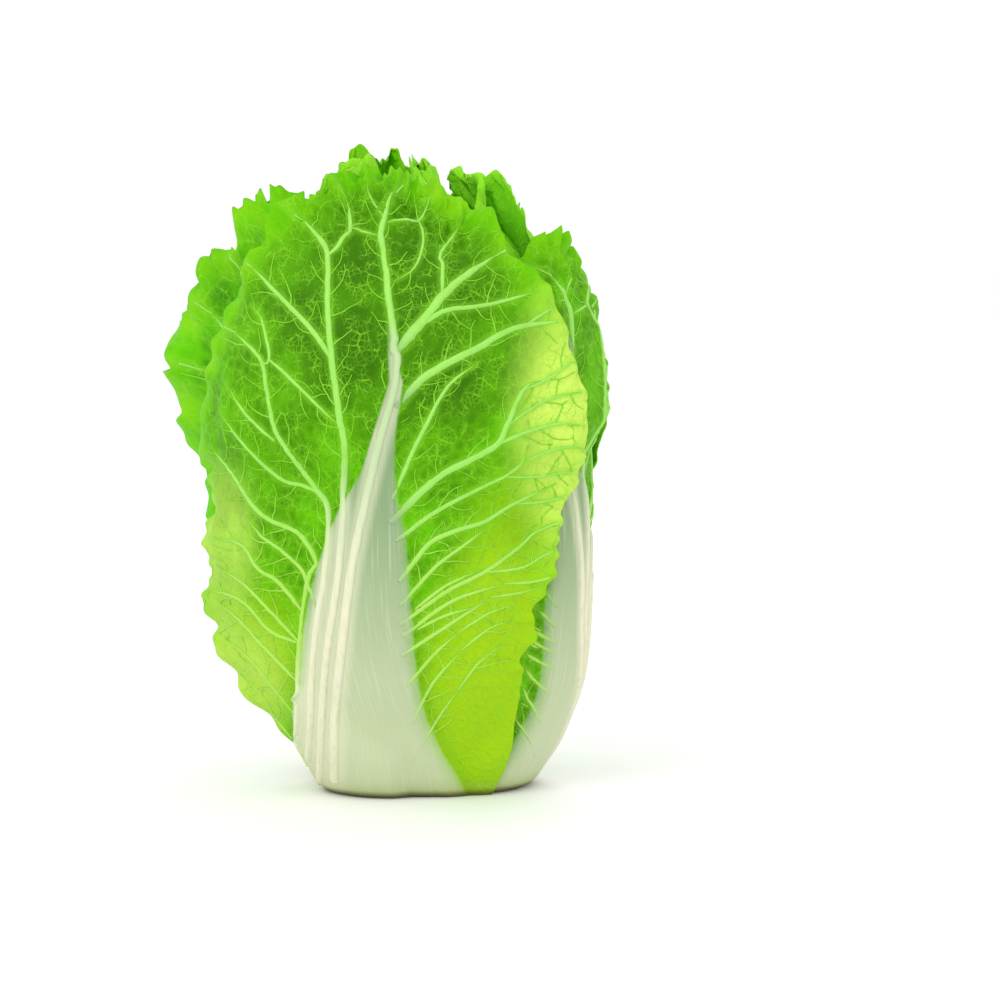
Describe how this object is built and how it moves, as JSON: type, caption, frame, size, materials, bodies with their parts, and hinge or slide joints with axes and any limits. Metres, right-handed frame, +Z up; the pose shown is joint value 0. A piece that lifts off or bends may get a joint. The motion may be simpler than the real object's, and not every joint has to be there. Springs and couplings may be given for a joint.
{
  "type": "napa cabbage",
  "caption": "Barrel-shaped napa cabbage head standing on its cut base: broad ruffled green leaves with fleshy white midribs wrapped round a dense heart.",
  "frame": {"origin": "centre of the flat cut face of the stem, on the surface that the head stands on", "axes": "+Z up along the head's length, -Y towards the broad front leaf, +X to the right as seen from the front"},
  "size_m": [0.1955, 0.1697, 0.28],
  "materials": {
    "leaf_outer": "waxy green leaf blade with pale green-white midrib and veins",
    "leaf_heart": "pale yellow-green young leaves",
    "stem": "moist creamy white cut stem with an olive-brown edge"
  },
  "bodies": {
    "root": {"stem": "stem", "heart": "leaf_heart", "leaf_back": "leaf_outer", "leaf_left": "leaf_outer", "leaf_right": "leaf_outer", "leaf_back_right": "leaf_outer", "leaf_front": "leaf_outer"}
  },
  "joints": []
}
